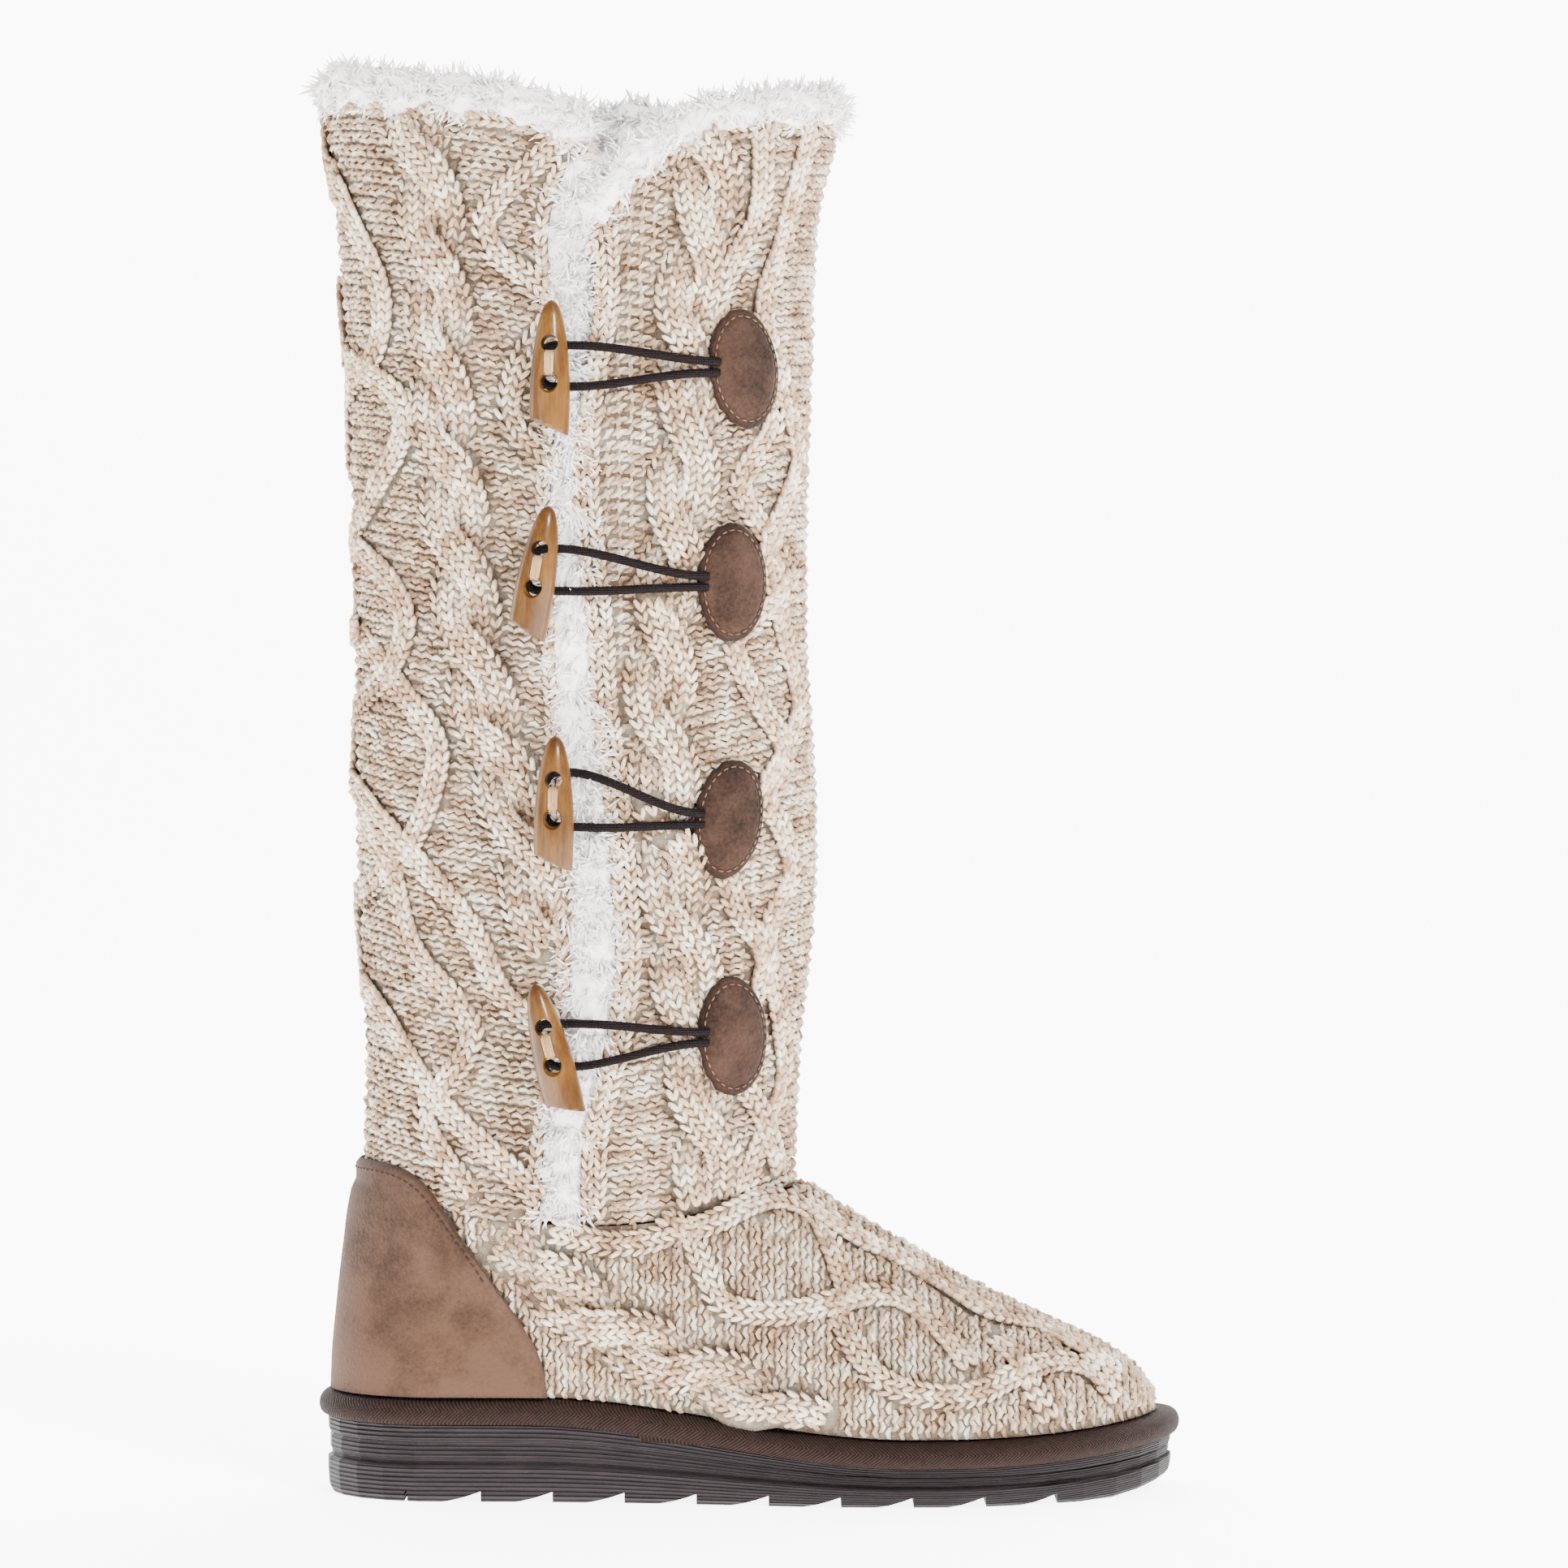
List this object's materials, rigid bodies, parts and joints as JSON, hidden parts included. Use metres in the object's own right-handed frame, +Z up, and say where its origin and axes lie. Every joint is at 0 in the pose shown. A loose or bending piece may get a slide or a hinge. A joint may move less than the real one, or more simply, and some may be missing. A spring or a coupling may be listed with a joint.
{
  "type": "knee-high boot",
  "caption": "Knee-high knitted winter boot for the right foot, with pile collar, wooden toggles on elastic loops down the outer side, suede heel counter and lugged rubber sole.",
  "frame": {"origin": "on the floor under the middle of the heel, on the tread's flat heel land", "axes": "+X towards the toe, +Y towards the inner side of the foot, +Z up the leg; the toggles are on the outer side at -Y"},
  "size_m": [0.2803, 0.1214, 0.4571],
  "materials": {
    "knit": "cable-knit yarn",
    "pile": "curled pile",
    "suede": "suede",
    "tape": "herringbone tape",
    "rubber": "matt moulded",
    "wood": "varnished",
    "elastic": "braided",
    "thread": "twisted"
  },
  "bodies": {
    "root": {"outsole": "rubber", "platform": "tape", "insole": "pile", "upper": "knit", "shaft": "knit", "heel_counter": "suede", "pile_collar": "pile", "pile_placket": "pile", "toggle_1": "wood", "toggle_2": "wood", "toggle_3": "wood", "toggle_4": "wood", "toggle_tie_1": "thread", "toggle_tie_2": "thread", "toggle_tie_3": "thread", "toggle_tie_4": "thread", "loop_1": "elastic", "loop_2": "elastic", "loop_3": "elastic", "loop_4": "elastic", "patch_1": "suede", "patch_2": "suede", "patch_3": "suede", "patch_4": "suede"}
  },
  "joints": []
}
